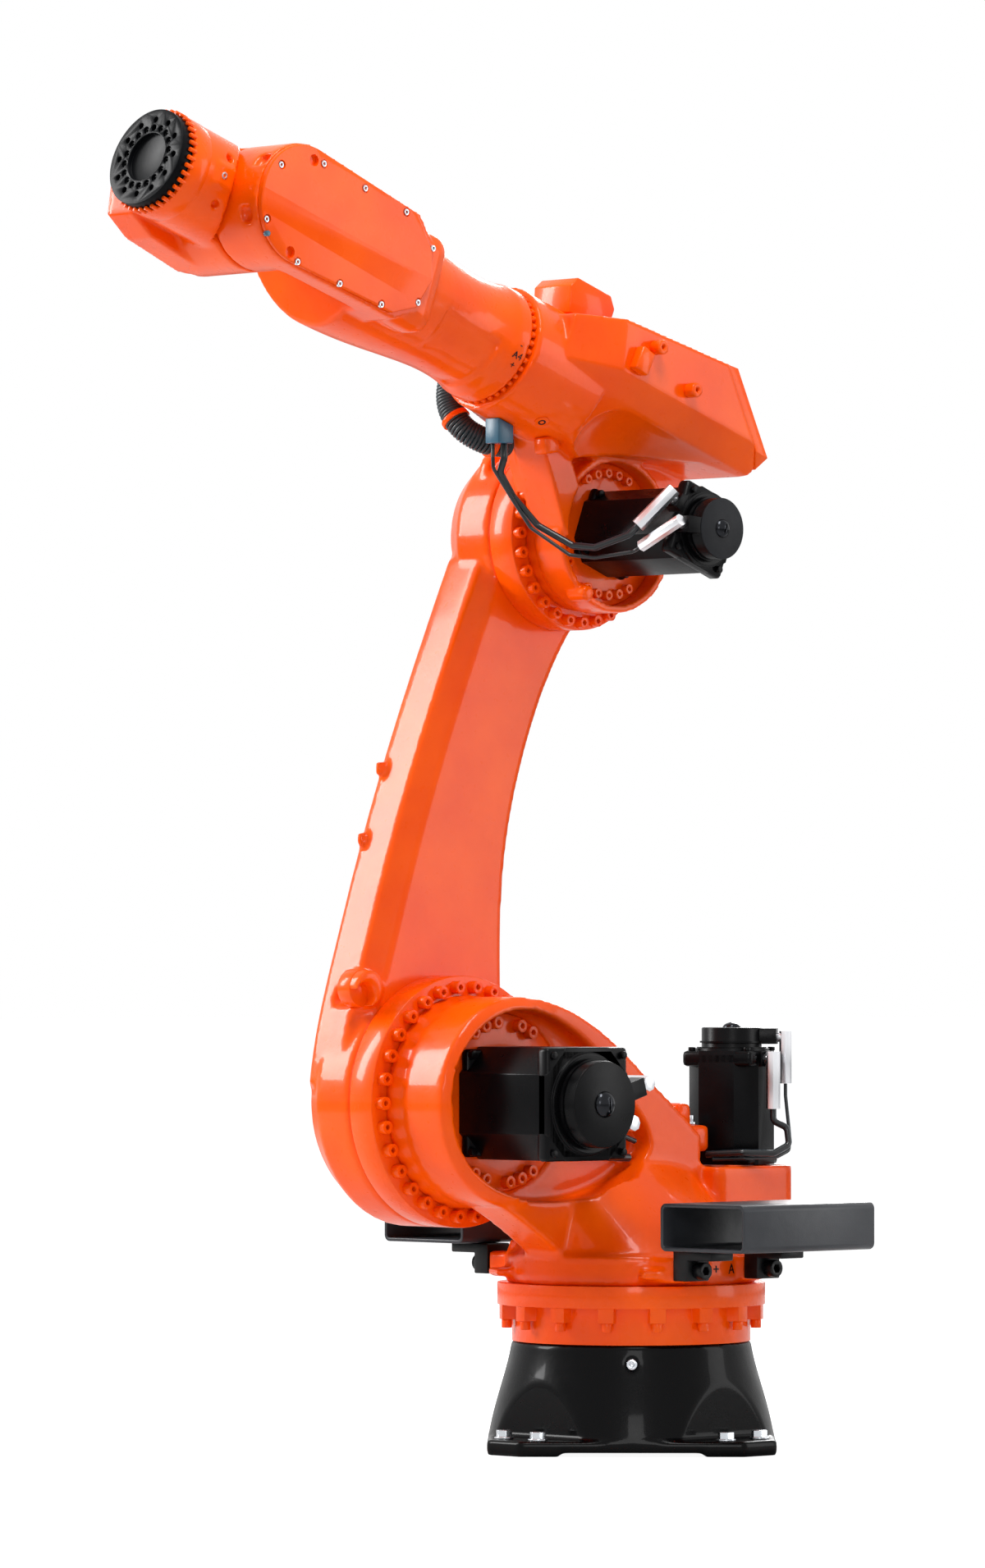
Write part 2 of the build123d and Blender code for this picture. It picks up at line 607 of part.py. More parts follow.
# ---------------------------------------------------------------- forearm
HUB_R, PRONG_OUT, PRONG_IN = 98.0, 133.0, 27.0
COVER_OUT = 139.0
PRONG_BACK = WRIST_A - 242
WAIST_A = 401 + (WRIST_A - 723) * 99 / 219    # narrowest place of the tube, between its ring and its swell
SWING_HALF, HEAD_ROOM = 104.0, 62.0   # room beside the swinging head, and over it under the prong
with BuildPart() as forearm_housing:
    with BuildSketch(tube(COLLAR_END)):
        Circle(100)
    with BuildSketch(tube(402)):
        Circle(98)
    loft()
    with BuildSketch(tube(401)):
        Circle(97)
    with BuildSketch(tube(WAIST_A)):
        Ellipse(93, 90)
    with BuildSketch(tube(WRIST_A - 322)):
        Ellipse(112, 104)
    with BuildSketch(tube(WRIST_A - 222)):
        Ellipse(122, 112)
    with BuildSketch(tube(WRIST_A - 82)):
        Ellipse(122, 112)
    loft()
    # prong on the motor side that carries the wrist
    with BuildSketch(arm(PRONG_OUT)):
        with BuildLine():
            Polyline((WRIST_A, -HUB_R), (PRONG_BACK, -HUB_R + 4), (PRONG_BACK - 45, -60), (PRONG_BACK - 60, 0),
                     (PRONG_BACK - 45, 48), (PRONG_BACK, HUB_R - 12), (WRIST_A, HUB_R), close=True)
        make_face()
        with Locations((WRIST_A, 0)):
            Circle(HUB_R)
    extrude(amount=PRONG_OUT - PRONG_IN)
    # room for the wrist to swing
    near = SWING_HALF / sin(radians(55))
    far = 260
    swept = [
        (WRIST_A - near, 0), (WRIST_A - near - far * cos(radians(55)), far * sin(radians(55))),
        (WRIST_A + 200, far), (WRIST_A + 200, -far),
        (WRIST_A - near - far * cos(radians(55)), -far * sin(radians(55))),
    ]
    with BuildSketch(arm(PRONG_IN)):
        with Locations((WRIST_A, 0)):
            Circle(HUB_R + 8)
        with BuildLine():
            Polyline(*swept, close=True)
        make_face()
    extrude(amount=250, mode=Mode.SUBTRACT)
    with BuildSketch(arm(PRONG_IN + HEAD_ROOM)):
        with BuildLine():
            Polyline(*swept, close=True)
        make_face()
        with Locations((WRIST_A, 0)):
            Circle(HUB_R, mode=Mode.SUBTRACT)
    extrude(amount=HEAD_ROOM, mode=Mode.SUBTRACT)
save(forearm_housing.part, "forearm_housing")

with BuildPart() as wrist_side_cover:
    with BuildSketch(arm(COVER_OUT)):
        with BuildLine():
            Polyline((WRIST_A, -95), (PRONG_BACK + 12, -88), (PRONG_BACK - 32, -62), (PRONG_BACK - 48, -10),
                     (PRONG_BACK - 35, 38), (PRONG_BACK + 12, 82), (WRIST_A, 95), close=True)
        make_face()
        with Locations((WRIST_A, 0)):
            Circle(95)
    extrude(amount=COVER_OUT - PRONG_OUT - GAP)
save(wrist_side_cover.part, "wrist_side_cover")

# ---------------------------------------------------------------- wrist
HEAD_R, HEAD_BACK, FLANGE_T = 84.0, 20.0, 24.0
with BuildPart() as wrist_body:
    with BuildSketch(arm(PRONG_IN - 4)):
        with Locations((WRIST_A, 0)):
            Circle(HUB_R)
    extrude(amount=PRONG_IN - 4 + 104)
    with BuildSketch(tube(WRIST_A + HEAD_BACK)):
        Circle(HEAD_R)
    extrude(amount=FACE_A - FLANGE_T - WRIST_A - HEAD_BACK - GAP)
    with BuildSketch(arm(HEAD_R + 4)):
        with Locations((WRIST_A, 0)):
            Circle(HUB_R + 6)
    extrude(amount=HEAD_R + 4 - PRONG_IN + 4, mode=Mode.SUBTRACT)
    # bearing boss against the prong
    with BuildSketch(arm(PRONG_IN - 0.1)):
        with Locations((WRIST_A, 0)):
            Circle(80)
    extrude(amount=20)
    # side arm along the far face
    with BuildSketch(arm(-60)):
        with BuildLine():
            Polyline((WRIST_A, -HUB_R), (FACE_A - 102, -90), (FACE_A - 52, -70), (FACE_A - 40, 0), (FACE_A - 52, 70),
                     (FACE_A - 102, 90), (WRIST_A, HUB_R), close=True)
        make_face()
    extrude(amount=60)
save(wrist_body.part, "wrist_body")

with BuildPart() as wrist_far_cover:
    with BuildSketch(arm(-120 - GAP)):
        with BuildLine():
            Polyline((WRIST_A, -92), (FACE_A - 104, -84), (FACE_A - 58, -64), (FACE_A - 47, 0), (FACE_A - 58, 64),
                     (FACE_A - 104, 84), (WRIST_A, 92), close=True)
        make_face()
        with Locations((WRIST_A, 0)):
            Circle(92)
    extrude(amount=10)
save(wrist_far_cover.part, "wrist_far_cover")

# ---------------------------------------------------------------- tool flange
FLANGE_R, RECESS_R, RECESS_T = 80.0, 40.0, 8.0
HOLE_PCD, HOLES, HOLE_R = 125.0, 12, 5.0
with BuildPart() as tool_flange:
    with BuildSketch(tube(FACE_A - FLANGE_T)):
        Circle(FLANGE_R)
    extrude(amount=FLANGE_T)
    with BuildSketch(tube(FACE_A)):
        Circle(RECESS_R)
    extrude(amount=-RECESS_T, mode=Mode.SUBTRACT)
    with BuildSketch(tube(FACE_A)):
        with PolarLocations(HOLE_PCD / 2, HOLES):
            Circle(HOLE_R)
    extrude(amount=-16, mode=Mode.SUBTRACT)
    with BuildSketch(tube(FACE_A)):
        with PolarLocations(49, 18, start_angle=90):
            Circle(5.6)
    extrude(amount=-9, mode=Mode.SUBTRACT)
save(tool_flange.part, "tool_flange")

with BuildPart() as flange_screws:
    with BuildSketch(tube(FACE_A - 9)):
        with PolarLocations(49, 17, start_angle=110, angular_range=320, endpoint=True):
            Circle(5)
            RegularPolygon(2.6, 6, mode=Mode.SUBTRACT)
    extrude(amount=6)
save(flange_screws.part, "flange_screws")
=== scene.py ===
# Six-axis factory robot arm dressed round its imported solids.
# Metres, X along the reach, Y the motor side, Z up.
from math import cos, radians, sin

import bpy
from mathutils import Matrix, Vector


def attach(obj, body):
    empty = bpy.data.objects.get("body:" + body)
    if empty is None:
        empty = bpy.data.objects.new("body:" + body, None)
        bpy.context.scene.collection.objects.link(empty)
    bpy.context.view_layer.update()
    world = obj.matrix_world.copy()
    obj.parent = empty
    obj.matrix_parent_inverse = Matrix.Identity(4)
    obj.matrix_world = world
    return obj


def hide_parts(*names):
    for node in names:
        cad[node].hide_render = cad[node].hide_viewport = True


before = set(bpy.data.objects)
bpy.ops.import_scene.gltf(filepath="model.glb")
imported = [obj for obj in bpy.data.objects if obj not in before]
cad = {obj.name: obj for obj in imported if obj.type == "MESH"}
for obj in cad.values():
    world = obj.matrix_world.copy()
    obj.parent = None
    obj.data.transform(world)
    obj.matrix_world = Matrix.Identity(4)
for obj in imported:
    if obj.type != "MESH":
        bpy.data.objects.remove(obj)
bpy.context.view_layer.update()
bpy.ops.object.select_all(action="DESELECT")

# ---------------------------------------------------------------- studio
# A white sweep with large soft boxes, as product pictures of machines are taken. The camera is a long
# lens about thirteen metres away, a little above knee height and tipped up by one degree.
CAMERA_AT = Vector((9.5991, 9.4943, 0.8258))
CAMERA_LOOK = Vector((-0.6989, -0.7150, 0.0197))
LENS_MM = 188.38


def linear(hex_colour):
    """sRGB hex to the linear colour that shaders take."""
    parts = [int(hex_colour[i:i + 2], 16) / 255 for i in (1, 3, 5)]
    return [p / 12.92 if p <= 0.04045 else ((p + 0.055) / 1.055) ** 2.4 for p in parts] + [1.0]


def add(material, kind, inputs=None, **settings):
    """Adds one shader node; inputs maps a socket to a value or to the socket that feeds it."""
    tree = material.node_tree
    made = tree.nodes.new(kind)
    for name, value in settings.items():
        setattr(made, name, value)
    for name, value in (inputs or {}).items():
        if isinstance(value, bpy.types.NodeSocket):
            tree.links.new(value, made.inputs[name])
        else:
            made.inputs[name].default_value = value
    return made


camera_data = bpy.data.cameras.new("camera")
camera_data.lens = LENS_MM
camera_data.sensor_width = 36
camera_data.clip_end = 200
camera = bpy.data.objects.new("camera", camera_data)
camera.location = CAMERA_AT
camera.rotation_euler = CAMERA_LOOK.to_track_quat("-Z", "Y").to_euler()
bpy.context.scene.collection.objects.link(camera)
bpy.context.scene.camera = camera

AIM = Vector((0.2, 0.0, 1.1))
SOFT_BOXES = (
    # name, place, width, height, watts
    ("key", (3.0, -3.6, 3.0), 1.3, 2.8, 260),
    ("overhead", (1.0, 1.2, 4.8), 1.2, 2.2, 140),
    ("motor_side", (-3.7, 4.0, 1.5), 1.9, 3.6, 70),
    ("front_fill", (5.2, 5.8, 2.6), 1.8, 2.2, 80),
    ("back_strip", (-4.2, -3.0, 2.6), 1.0, 3.0, 90),
)
for name, place, width, height, watts in SOFT_BOXES:
    lamp = bpy.data.lights.new(name, "AREA")
    lamp.shape = "RECTANGLE"
    lamp.size, lamp.size_y, lamp.energy = width, height, watts
    box = bpy.data.objects.new(name, lamp)
    box.location = place
    box.rotation_euler = (AIM - Vector(place)).to_track_quat("-Z", "Y").to_euler()
    bpy.context.scene.collection.objects.link(box)

world = bpy.data.worlds.new("studio_white")
bpy.context.scene.world = world
world.use_nodes = True
world.node_tree.nodes.clear()
seen = add(world, "ShaderNodeLightPath")
shown = add(world, "ShaderNodeMath",
            {0: seen.outputs["Is Camera Ray"], 1: seen.outputs["Is Transmission Ray"]}, operation="MAXIMUM")
mirrored = add(world, "ShaderNodeMath",
               {0: shown.outputs[0], 1: seen.outputs["Is Glossy Ray"]}, operation="MAXIMUM")
lit = add(world, "ShaderNodeBackground", {"Color": linear("#F4F7FA"), "Strength": 0.26})
white = add(world, "ShaderNodeBackground", {"Color": (1, 1, 1, 1), "Strength": 1.0})
sky = add(world, "ShaderNodeMixShader", {0: mirrored.outputs[0], 1: lit.outputs[0], 2: white.outputs[0]})
add(world, "ShaderNodeOutputWorld", {"Surface": sky.outputs[0]})

bpy.ops.mesh.primitive_plane_add(size=120, location=(0, 0, -0.001))
floor = bpy.context.object
floor.name = "studio_floor"
floor_paint = bpy.data.materials.new("matt_white_floor")
floor_paint.use_nodes = True
floor_paint.node_tree.nodes.clear()
matt = add(floor_paint, "ShaderNodeBsdfDiffuse", {"Color": linear("#EDEDED")})
shade = add(floor_paint, "ShaderNodeBsdfDiffuse", {"Color": linear("#C6C6C6")})
glow = add(floor_paint, "ShaderNodeEmission", {"Color": (1, 1, 1, 1), "Strength": 0.93})
pale = add(floor_paint, "ShaderNodeAddShader", {0: shade.outputs[0], 1: glow.outputs[0]})
path = add(floor_paint, "ShaderNodeLightPath")
floor_seen = add(floor_paint, "ShaderNodeMixShader",
                 {0: path.outputs["Is Camera Ray"], 1: matt.outputs[0], 2: pale.outputs[0]})
add(floor_paint, "ShaderNodeOutputMaterial", {"Surface": floor_seen.outputs[0]})
floor.data.materials.append(floor_paint)
bpy.ops.object.select_all(action="DESELECT")
bpy.context.scene.view_settings.view_transform = "Standard"

# ---------------------------------------------------------------- foot
# Cast iron foot that flares from a round neck to a square plate with its corners cut off, flat where the
# anchor bolts need room. Sand cast and sprayed with a deep black gloss that shows the cast skin.


def powder_coat(name, colour, deep, scratch, grain_mm, grain, rough, shine, coat=0.0):
    """Sprayed coat: two close tones in clouds, cast grain and fine peel in relief, pale scratches."""
    material = bpy.data.materials.new(name)
    material.use_nodes = True
    material.node_tree.nodes.clear()
    place = add(material, "ShaderNodeTexCoord").outputs["Object"]
    cast = add(material, "ShaderNodeTexNoise", {"Vector": place, "Scale": 1000 / grain_mm, "Detail": 3.0,
                                                "Roughness": 0.55})
    cloud = add(material, "ShaderNodeTexNoise", {"Vector": place, "Scale": 7.0, "Detail": 4.0})
    peel = add(material, "ShaderNodeTexNoise", {"Vector": place, "Scale": 420.0, "Detail": 1.0})
    squeeze = add(material, "ShaderNodeMapping", {"Vector": place, "Rotation": (0.4, 0.7, 0.2),
                                                  "Scale": (6.0, 90.0, 14.0)})
    lines = add(material, "ShaderNodeTexNoise", {"Vector": squeeze.outputs[0], "Scale": 2.2, "Detail": 8.0,
                                                 "Roughness": 0.7})
    thin = add(material, "ShaderNodeMapRange",
               {"Value": lines.outputs["Fac"], "From Min": 0.70, "From Max": 0.74})
    where = add(material, "ShaderNodeMapRange",
                {"Value": cloud.outputs["Fac"], "From Min": 0.52, "From Max": 0.62})
    scratched = add(material, "ShaderNodeMath",
                    {0: thin.outputs[0], 1: where.outputs[0]}, operation="MULTIPLY")
    tone = add(material, "ShaderNodeMapRange",
               {"Value": cloud.outputs["Fac"], "From Min": 0.3, "From Max": 0.7})
    base = add(material, "ShaderNodeMix", {"Factor": tone.outputs[0], "A": linear(deep), "B": linear(colour)},
               data_type="RGBA")
    worn = add(material, "ShaderNodeMix", {"Factor": scratched.outputs[0], "A": base.outputs["Result"],
                                           "B": linear(scratch)}, data_type="RGBA")
    spread = add(material, "ShaderNodeMapRange", {"Value": cast.outputs["Fac"], "To Min": rough - 0.06,
                                                  "To Max": rough + 0.1})
    relief = add(material, "ShaderNodeBump",
                 {"Height": cast.outputs["Fac"], "Strength": grain, "Distance": 0.002})
    skin = add(material, "ShaderNodeBump", {
        "Height": peel.outputs["Fac"], "Strength": 0.12, "Distance": 0.0006, "Normal": relief.outputs[0]})
    surface = add(material, "ShaderNodeBsdfPrincipled", {
        "Base Color": worn.outputs["Result"], "Roughness": spread.outputs[0], "Normal": skin.outputs[0],
        "Specular IOR Level": shine, "Coat Weight": coat, "Coat Roughness": 0.07})
    add(material, "ShaderNodeOutputMaterial", {"Surface": surface.outputs[0]})
    return material


def select_only(piece):
    bpy.ops.object.select_all(action="DESELECT")
    bpy.context.view_layer.objects.active = piece
    piece.select_set(True)


def copy_of(node, name):
    """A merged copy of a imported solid, ready for modelling."""
    piece = cad[node].copy()
    piece.data = cad[node].data.copy()
    piece.name = piece.data.name = name
    piece.parent = None
    bpy.context.scene.collection.objects.link(piece)
    select_only(piece)
    bpy.ops.object.mode_set(mode="EDIT")
    bpy.ops.mesh.select_all(action="SELECT")
    bpy.ops.mesh.remove_doubles(threshold=0.00002)
    bpy.ops.mesh.dissolve_limited(angle_limit=radians(0.5))
    bpy.ops.object.mode_set(mode="OBJECT")
    return piece


def use(piece, kind, **settings):
    """Adds one modifier and applies it."""
    select_only(piece)
    step = piece.modifiers.new(kind.lower(), kind)
    for name, value in settings.items():
        setattr(step, name, value)
    bpy.ops.object.modifier_apply(modifier=step.name)


def cut(piece, *forms):
    """Cuts forms out of a piece and throws them away."""
    for form in forms:
        use(piece, "BOOLEAN", operation="DIFFERENCE", solver="EXACT", object=form)
        bpy.data.objects.remove(form)


def join(piece, forms):
    select_only(piece)
    for form in forms:
        form.select_set(True)
    if forms:
        bpy.ops.object.join()
    return piece


def dress(piece, name, body, finish, *nodes):
    """Names a finished piece, gives it its finish and hangs it on its body."""
    piece.name = piece.data.name = name
    piece.data.materials.clear()
    piece.data.materials.append(finish)
    if nodes:
        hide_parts(*nodes)
    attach(piece, body)
    return piece


def casting(node, name, body, finish, grain_mm, soft, grown=(), cuts=(), kept=1.0):
    """Grows extra forms on a solid, cuts pockets out of it, and rounds every edge as a casting."""
    piece = join(copy_of(node, name), list(grown))
    use(piece, "REMESH", mode="VOXEL", voxel_size=grain_mm / 1000)
    cut(piece, *cuts)
    if cuts:
        use(piece, "REMESH", mode="VOXEL", voxel_size=grain_mm / 1000)
    use(piece, "SMOOTH", factor=0.5, iterations=soft)
    if kept < 1:
        use(piece, "DECIMATE", ratio=kept)
    bpy.ops.object.shade_smooth()
    return dress(piece, name, body, finish, node)


satin_black = powder_coat(
    "black_gloss_on_cast_iron", "#040405", "#020203", "#1E1F22", 22, 0.16, 0.27, 0.05, 0.10)
casting("base_frame", "foot_casting", "base", satin_black, 4.5, 4)

# ---------------------------------------------------------------- foot screws
# Hexagon bolts with washers, bright zinc plated, and a socket plug that closes the drain of the foot.


def plain_metal(name, colour, rough, grain_mm):
    """Bare or plated metal with a fine uneven polish."""
    material = bpy.data.materials.new(name)
    material.use_nodes = True
    material.node_tree.nodes.clear()
    place = add(material, "ShaderNodeTexCoord").outputs["Object"]
    grain = add(material, "ShaderNodeTexNoise", {"Vector": place, "Scale": 1000 / grain_mm, "Detail": 4.0})
    spread = add(material, "ShaderNodeMapRange", {"Value": grain.outputs["Fac"], "To Min": rough - 0.08,
                                                  "To Max": rough + 0.12})
    relief = add(material, "ShaderNodeBump",
                 {"Height": grain.outputs["Fac"], "Strength": 0.1, "Distance": 0.0005})
    surface = add(material, "ShaderNodeBsdfPrincipled", {
        "Base Color": linear(colour), "Metallic": 1.0, "Roughness": spread.outputs[0],
        "Normal": relief.outputs[0]})
    add(material, "ShaderNodeOutputMaterial", {"Surface": surface.outputs[0]})
    return material


def crisp(piece, edge_mm):
    """Rounds the sharp edges of a machined piece and shades it smooth between them."""
    if edge_mm:
        use(piece, "BEVEL", width=edge_mm / 1000, segments=2, limit_method="ANGLE",
            angle_limit=radians(30))
    select_only(piece)
    bpy.ops.object.shade_smooth_by_angle(angle=radians(35))
    return piece


def machined(node, name, body, finish, edge_mm):
    """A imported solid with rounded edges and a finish."""
    return dress(crisp(copy_of(node, name), edge_mm), name, body, finish, node)


zinc = plain_metal("bright_zinc_plate", "#C9CDD2", 0.24, 3)
machined("anchor_bolts", "anchor_bolt_heads", "base", zinc, 1.2)
machined("base_plug", "foot_plug", "base", zinc, 1.0)

# ---------------------------------------------------------------- collar under axis 1
# Machined ring with sixteen clamping lugs and a screw head under each, coated orange with the rest.
ORANGE, ORANGE_DEEP, SCRATCH = "#FA5A00", "#EE4A00", "#FF9A5C"
smooth_orange = powder_coat(
    "orange_coat_on_machined_metal", ORANGE, ORANGE_DEEP, SCRATCH, 40, 0.08, 0.26, 0.10, 0.22)
machined("base_collar", "collar_ring", "base", smooth_orange, 2.5)
machined("collar_screws", "collar_screw_heads", "base", smooth_orange, 1.0)


def at(x, y, z):
    """A point given in millimetres."""
    return Vector((x, y, z)) / 1000


def settle():
    """The new primitive with its place and turn baked into its mesh."""
    bpy.ops.object.transform_apply(location=True, rotation=True, scale=True)
    return bpy.context.object


def rod(start, along, length, radius, tip=None, sides=48):
    """Round bar in mm from a point along a direction; tip is its radius at the far end."""
    bpy.ops.object.select_all(action="DESELECT")
    along = Vector(along).normalized()
    far = radius if tip is None else tip
    bpy.ops.mesh.primitive_cone_add(
        vertices=sides, radius1=radius / 1000, radius2=far / 1000, depth=length / 1000,
        location=start + along * length / 2000, rotation=along.to_track_quat("Z", "Y").to_euler())
    return settle()


def block(centre, size, turn=None, edge=0):
    """Box in mm about a point, turned by a matrix, with chamfered edges."""
    bpy.ops.object.select_all(action="DESELECT")
    bpy.ops.mesh.primitive_cube_add(size=1, location=centre, scale=[s / 1000 for s in size])
    bpy.context.object.rotation_euler = (turn or Matrix.Identity(3)).to_euler()
    piece = settle()
    if edge:
        use(piece, "BEVEL", width=edge / 1000, segments=2)
    return piece


# ---------------------------------------------------------------- column
# One casting from the drum over axis 1 to the barrel of the shoulder: an egg-shaped mouth with a smooth lip,
# a web that runs into the drum, ears and lugs, and a bowl behind for the motor of axis 1.
A2 = (300, 572)
cast_orange = powder_coat(
    "orange_coat_on_casting", ORANGE, ORANGE_DEEP, SCRATCH, 13, 0.26, 0.28, 0.10, 0.22)
grown = [
    rod(at(A2[0], -86.5, A2[1]), (0, 1, 0), 42, 175, 168, 96),
    block(at(-146, -8, 507), (36, 60, 44), edge=6),
    block(at(-108, -8, 545), (30, 56, 42), edge=6),
]
for angle, z, out in ((-44, 322, 176), (-62, 322, 150)):
    grown.append(rod(at(out * cos(radians(angle)), out * sin(radians(angle)), z - 20), (0, 0, 1), 42, 34, 22))
bowl = block(at(-222, -8, 462), (166, 140, 24), edge=8)
casting("column_housing", "column_casting", "column", cast_orange, 4.5, 4, grown, [bowl], 0.7)
bolt = join(rod(at(-146, -8, 529), (0, 0, 1), 5, 11), [rod(at(-146, -8, 534), (0, 0, 1), 11, 7.5)])
dress(crisp(bolt, 0.8), "lug_bolt", "column", zinc)

# ---------------------------------------------------------------- shoulder gear
# Turned gear housing inside the barrel with an inner ring of socket screws, and on the link side the gear
# ring with thirty socket screws in a recess.
machined("a2_gear_flange", "shoulder_gear_housing", "column", smooth_orange, 2.0)
machined("a2_gear_inner_screws", "shoulder_inner_screws", "column", smooth_orange, 1.2)
machined("a2_gear_ring", "shoulder_gear_ring", "link", smooth_orange, 1.6)
machined("a2_gear_screws", "shoulder_gear_screws", "link", smooth_orange, 1.2)

# ---------------------------------------------------------------- motors
# Three servo motors of one type: square cast body with cut corners, a square end shield with four screws,
# a round cap between two rings, a slotted dome, and two connector blocks. Black enamel.
motor_black = powder_coat("black_motor_enamel", "#08080A", "#050506", "#202225", 30, 0.12, 0.28, 0.10)
cap_grey = powder_coat("matt_grey_cap_enamel", "#202125", "#141518", "#4B4D52", 24, 0.10, 0.46, 0.15)
dome_black = plain_metal("polished_black_dome", "#2A2B2E", 0.16, 8)


def seated(origin, out, along):
    """Matrix of a motor's own frame: X where its connectors look, Z along its axis."""
    out, along = Vector(out).normalized(), Vector(along).normalized()
    turn = Matrix((out, along.cross(out), along)).transposed()
    return Matrix.Translation(origin) @ turn.to_4x4()


def servo(node, name, body, seat, half, length, cap_r, cap_finish):
    """One motor, in its own frame: half its width, length of its body and radius of its cap, in mm."""
    turn = seat.to_3x3()
    axis = seat.col[2][:3]
    screw = half - 13
    crown = length + 37

    def here(x, y, z):
        return seat @ at(x, y, z)

    forms = [block(here(0, 0, length - 13), (2 * half, 2 * half, 26), turn, 7),
             block(here(0, 0, 8), (2 * half - 8, 2 * half - 8, 16), turn, 6)]
    for sx in (-1, 1):
        for sy in (-1, 1):
            forms.append(crisp(rod(here(sx * screw, sy * screw, length - 2), axis, 8, 6), 1))
            forms.append(crisp(rod(here(sx * screw, sy * screw, 14), axis, 10, 7), 1))
    for low, wide in ((length + 3, 8), (length + 13, 3)):
        forms.append(rod(here(0, 0, low), axis, 3, cap_r + wide, sides=96))
    piece = join(crisp(copy_of(node, name), 1.6), forms)
    select_only(piece)
    bpy.ops.object.shade_smooth_by_angle(angle=radians(35))
    dress(piece, name, body, motor_black, node)
    plate = crisp(rod(here(0, 0, length + 34), axis, 4.5, cap_r - 0.6, sides=96), 1.2)
    dress(plate, name + "_cap_plate", body, cap_finish)
    bpy.ops.object.select_all(action="DESELECT")
    bpy.ops.mesh.primitive_uv_sphere_add(segments=40, ring_count=20, radius=1)
    dome = bpy.context.object
    dome.matrix_world = Matrix.LocRotScale(here(0, 0, crown), turn.to_quaternion(),
                                           Vector((cap_r * 0.31, cap_r * 0.31, cap_r * 0.2)) / 1000)
    dome = settle()
    cut(dome, block(here(0, 0, crown + cap_r * 0.2), (3, cap_r * 0.34, 5), turn))
    select_only(dome)
    bpy.ops.object.shade_smooth_by_angle(angle=radians(35))
    dress(dome, name + "_dome", body, dome_black)


A2_SEAT = seated(at(300, -3.7, 572), (-1, 0, 0), (0, 1, 0))
A1_SEAT = seated(at(-243, -5, 462.3), (cos(radians(110)), sin(radians(110)), 0), (0, 0, 1))
A3_SEAT = seated(at(33.183, -28.7, 1502.501), (cos(radians(21)), 0, sin(radians(21))), (0, 1, 0))
servo("a2_motor", "shoulder_motor", "column", A2_SEAT, 91, 203, 70, motor_black)
servo("a1_motor", "column_motor", "column", A1_SEAT, 63, 189, 50, motor_black)
servo("a3_motor", "elbow_motor", "arm", A3_SEAT, 63, 232, 50, cap_grey)

# ---------------------------------------------------------------- connectors and leads
# Angled power and signal plugs, die cast and nickel plated. The leads are round black cables with a faint
# blue sheen.
die_cast = plain_metal("satin_nickel_on_die_casting", "#E6E7EA", 0.30, 2)


def rubber(name, colour, rough, tint):
    """Smooth cable sheath or hose: dark plastic with a thin tinted sheen."""
    material = bpy.data.materials.new(name)
    material.use_nodes = True
    material.node_tree.nodes.clear()
    place = add(material, "ShaderNodeTexCoord").outputs["Object"]
    grain = add(material, "ShaderNodeTexNoise", {"Vector": place, "Scale": 600.0, "Detail": 2.0})
    relief = add(material, "ShaderNodeBump",
                 {"Height": grain.outputs["Fac"], "Strength": 0.1, "Distance": 0.0004})
    surface = add(material, "ShaderNodeBsdfPrincipled", {
        "Base Color": linear(colour), "Roughness": rough, "Normal": relief.outputs[0],
        "Sheen Weight": 0.3, "Sheen Roughness": 0.4, "Sheen Tint": linear(tint)})
    add(material, "ShaderNodeOutputMaterial", {"Surface": surface.outputs[0]})
    return material


cable_sheath = rubber("black_cable_sheath", "#0E1012", 0.30, "#7FB4CC")
machined("a2_connectors", "shoulder_plugs", "column", die_cast, 0.9)
machined("a1_connectors", "column_plugs", "column", die_cast, 0.9)
machined("a3_connectors", "elbow_plugs", "arm", die_cast, 0.9)
machined("a2_motor_cables", "shoulder_leads", "column", cable_sheath, 0)
machined("a1_motor_cable", "column_leads", "column", cable_sheath, 0)
machined("a3_motor_cables", "elbow_leads", "arm", cable_sheath, 0)

# ---------------------------------------------------------------- fork pockets
# Rectangular steel tubes for the forks of a truck, rolled with rounded corners, painted dark grey and
# scratched, on black plates with a hook under the tube and two large socket screws a side.
worn_grey = powder_coat("dark_grey_paint_on_steel", "#3A3C40", "#2A2C30", "#A8ABB0", 18, 0.12, 0.34, 0.3)
plate_black = powder_coat("black_paint_on_plate", "#0B0C0E", "#070809", "#2E3034", 18, 0.12, 0.32, 0.2)
for hand in ("right", "left"):
    machined("fork_tube_" + hand, "fork_pocket_" + hand, "column", worn_grey, 1.4)
    machined("fork_bracket_" + hand, "fork_hook_" + hand, "column", plate_black, 2.2)
machined("fork_bracket_screws", "fork_screws", "column", plate_black, 1.6)

# ---------------------------------------------------------------- link arm
# Long curved casting between shoulder and elbow, a box with bevelled flanks that swells into a round hub at
# both ends. A round channel runs across its front low down, and a thick stop disc stands before it.
channel = rod(at(476, -216, 746), (0, 1, 0), 92, 21)
casting("link_arm", "link_casting", "link", cast_orange, 4.5, 4, cuts=[channel], kept=0.6)
dress(crisp(rod(at(466, -178, 757), (0, 1, 0), 30, 31, sides=64), 2.5), "stop_disc", "link", smooth_orange)
machined("link_cover_lower", "shoulder_end_cap", "link", smooth_orange, 3.0)
machined("link_cover_upper", "elbow_end_cap", "link", smooth_orange, 3.0)

# ---------------------------------------------------------------- elbow gear
# Gear ring of the elbow with its screws on the link, and the turned housing with inner screws in the arm.
machined("a3_gear_ring", "elbow_gear_ring", "link", smooth_orange, 1.6)
machined("a3_gear_screws", "elbow_gear_screws", "link", smooth_orange, 1.2)
machined("a3_gear_flange", "elbow_gear_housing", "arm", smooth_orange, 2.0)
machined("a3_gear_inner_screws", "elbow_inner_screws", "arm", smooth_orange, 1.0)

